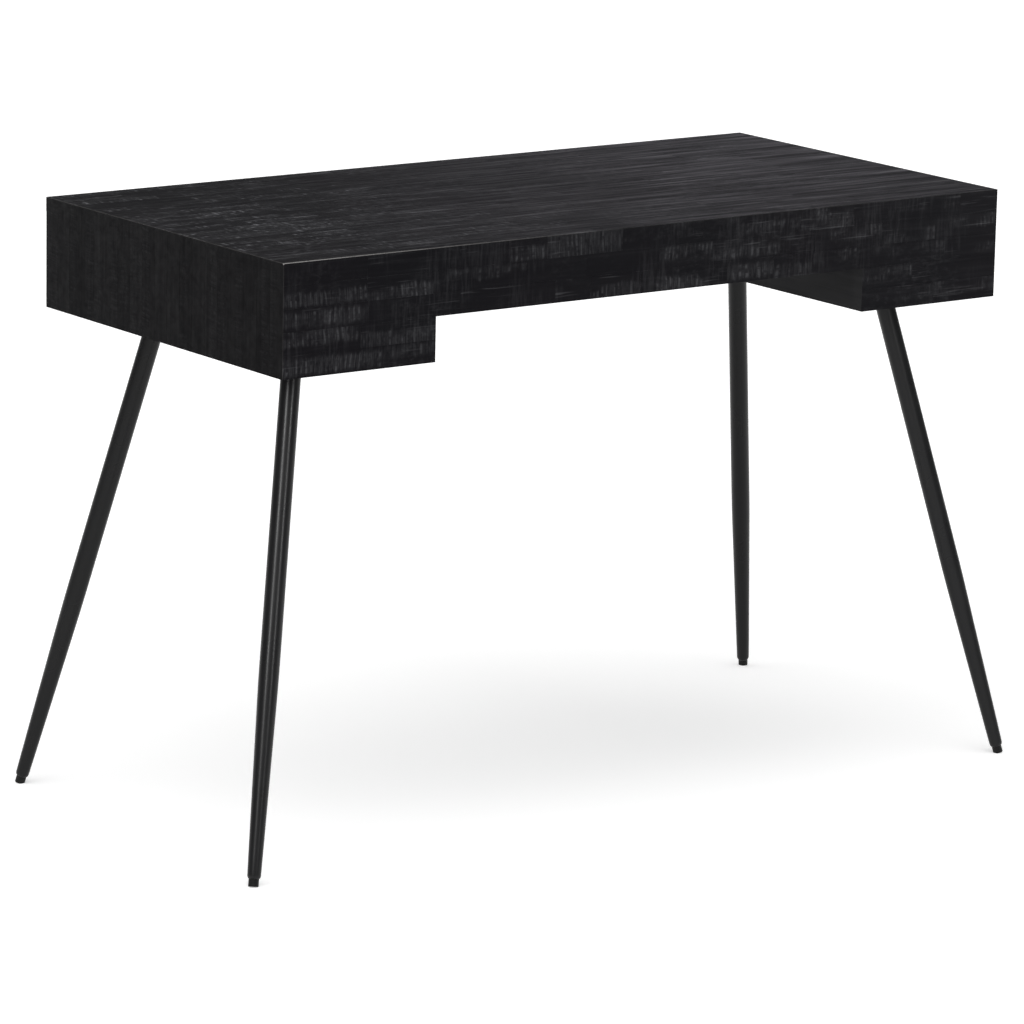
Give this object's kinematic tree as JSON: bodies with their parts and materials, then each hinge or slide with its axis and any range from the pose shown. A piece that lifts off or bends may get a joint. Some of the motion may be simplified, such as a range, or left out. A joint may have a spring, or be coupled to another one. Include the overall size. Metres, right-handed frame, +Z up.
{
  "type": "writing desk",
  "caption": "Writing desk with a mitred wooden case, end blocks and a shallow centre, sliding drawers, and splayed tapered steel legs.",
  "frame": {"origin": "middle of the footprint of the four legs, on the floor", "axes": "+Z up; +X along the desk, so left is -X; +Y towards the seat, the way the drawers open; the plain rear face looks towards -Y"},
  "size_m": [1.1842, 0.5592, 0.755],
  "materials": {
    "strip_wood_black": "black stained rough-sawn strips under a thin satin lacquer",
    "plain_wood_black": "smooth black stain, satin",
    "powder_coated_steel": "fine satin black powder coat",
    "glide_plastic": "matt moulded plastic",
    "screw_steel": "black zinc",
    "runner_hardwood": "waxed bare hardwood",
    "dowel_beech": "bare beech",
    "drawer_box_wood": "bare sanded wood"
  },
  "bodies": {
    "desk": {"case_dowels": "dowel_beech", "centre_drawer_runner_left": "runner_hardwood", "centre_drawer_runner_right": "runner_hardwood", "centre_drawer_stop_block": "runner_hardwood", "centre_floor_panel": "plain_wood_black", "front_left_foot_glide": "glide_plastic", "front_left_leg_plate": "powder_coated_steel", "front_left_leg_tube": "powder_coated_steel", "front_right_foot_glide": "glide_plastic", "front_right_leg_plate": "powder_coated_steel", "front_right_leg_tube": "powder_coated_steel", "left_drawer_runner_left": "runner_hardwood", "left_drawer_runner_right": "runner_hardwood", "left_drawer_stop_block": "runner_hardwood", "left_floor_panel": "plain_wood_black", "left_inner_panel": "plain_wood_black", "left_side_panel": "strip_wood_black", "leg_plate_screws": "screw_steel", "rear_left_foot_glide": "glide_plastic", "rear_left_leg_plate": "powder_coated_steel", "rear_left_leg_tube": "powder_coated_steel", "rear_panel": "strip_wood_black", "rear_right_foot_glide": "glide_plastic", "rear_right_leg_plate": "powder_coated_steel", "rear_right_leg_tube": "powder_coated_steel", "right_drawer_runner_left": "runner_hardwood", "right_drawer_runner_right": "runner_hardwood", "right_drawer_stop_block": "runner_hardwood", "right_floor_panel": "plain_wood_black", "right_inner_panel": "plain_wood_black", "right_side_panel": "strip_wood_black", "runner_screws": "screw_steel", "stop_block_screws": "screw_steel", "top_panel": "strip_wood_black"},
    "left_drawer": {"left_drawer_back": "drawer_box_wood", "left_drawer_bottom": "drawer_box_wood", "left_drawer_front": "strip_wood_black", "left_drawer_left_side": "drawer_box_wood", "left_drawer_right_side": "drawer_box_wood"},
    "centre_drawer": {"centre_drawer_back": "drawer_box_wood", "centre_drawer_bottom": "drawer_box_wood", "centre_drawer_front": "strip_wood_black", "centre_drawer_left_side": "drawer_box_wood", "centre_drawer_right_side": "drawer_box_wood"},
    "right_drawer": {"right_drawer_back": "drawer_box_wood", "right_drawer_bottom": "drawer_box_wood", "right_drawer_front": "strip_wood_black", "right_drawer_left_side": "drawer_box_wood", "right_drawer_right_side": "drawer_box_wood"}
  },
  "joints": [
    {"name": "left_drawer_slide", "type": "slide", "parent": "desk", "child": "left_drawer", "axis": [0, 1, 0], "range_m": [0, 0.3]},
    {"name": "centre_drawer_slide", "type": "slide", "parent": "desk", "child": "centre_drawer", "axis": [0, 1, 0], "range_m": [0, 0.3]},
    {"name": "right_drawer_slide", "type": "slide", "parent": "desk", "child": "right_drawer", "axis": [0, 1, 0], "range_m": [0, 0.3]}
  ]
}
